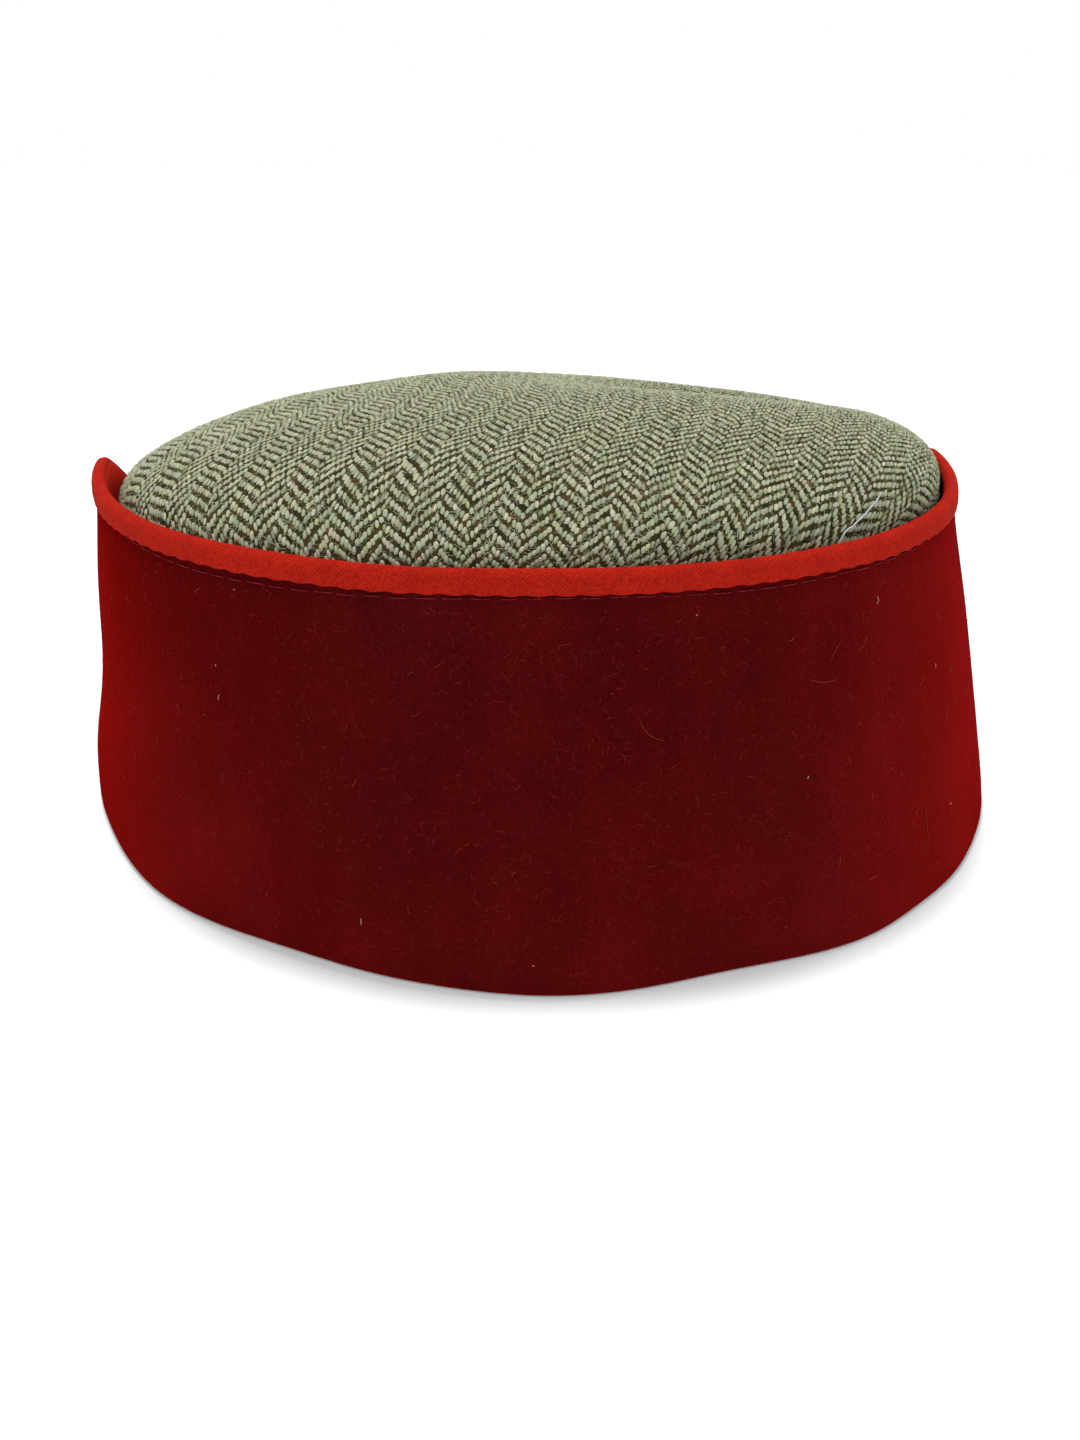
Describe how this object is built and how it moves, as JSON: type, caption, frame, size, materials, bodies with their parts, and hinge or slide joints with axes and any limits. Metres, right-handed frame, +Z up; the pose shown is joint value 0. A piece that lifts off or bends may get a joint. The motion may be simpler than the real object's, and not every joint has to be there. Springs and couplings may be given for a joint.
{
  "type": "kullu cap",
  "caption": "Round wool cap with a puffed herringbone crown and a stiff velvet band standing round its front and sides, its edge bound with plain tape; open below for the head.",
  "frame": {"origin": "on the ground under the middle of the cap's box, in the plane of the rim", "axes": "+Z up from the rim to the crown's top, -Y to the front of the cap where the band is whole, +X to the right as seen from the front"},
  "size_m": [0.1932, 0.1972, 0.0834],
  "materials": {
    "tweed": "woollen herringbone tweed, matt",
    "velvet": "short-pile red velvet",
    "tape": "plain woven bias tape, matt"
  },
  "bodies": {
    "root": {"crown": "tweed", "front_band": "velvet", "binding": "tape"}
  },
  "joints": []
}
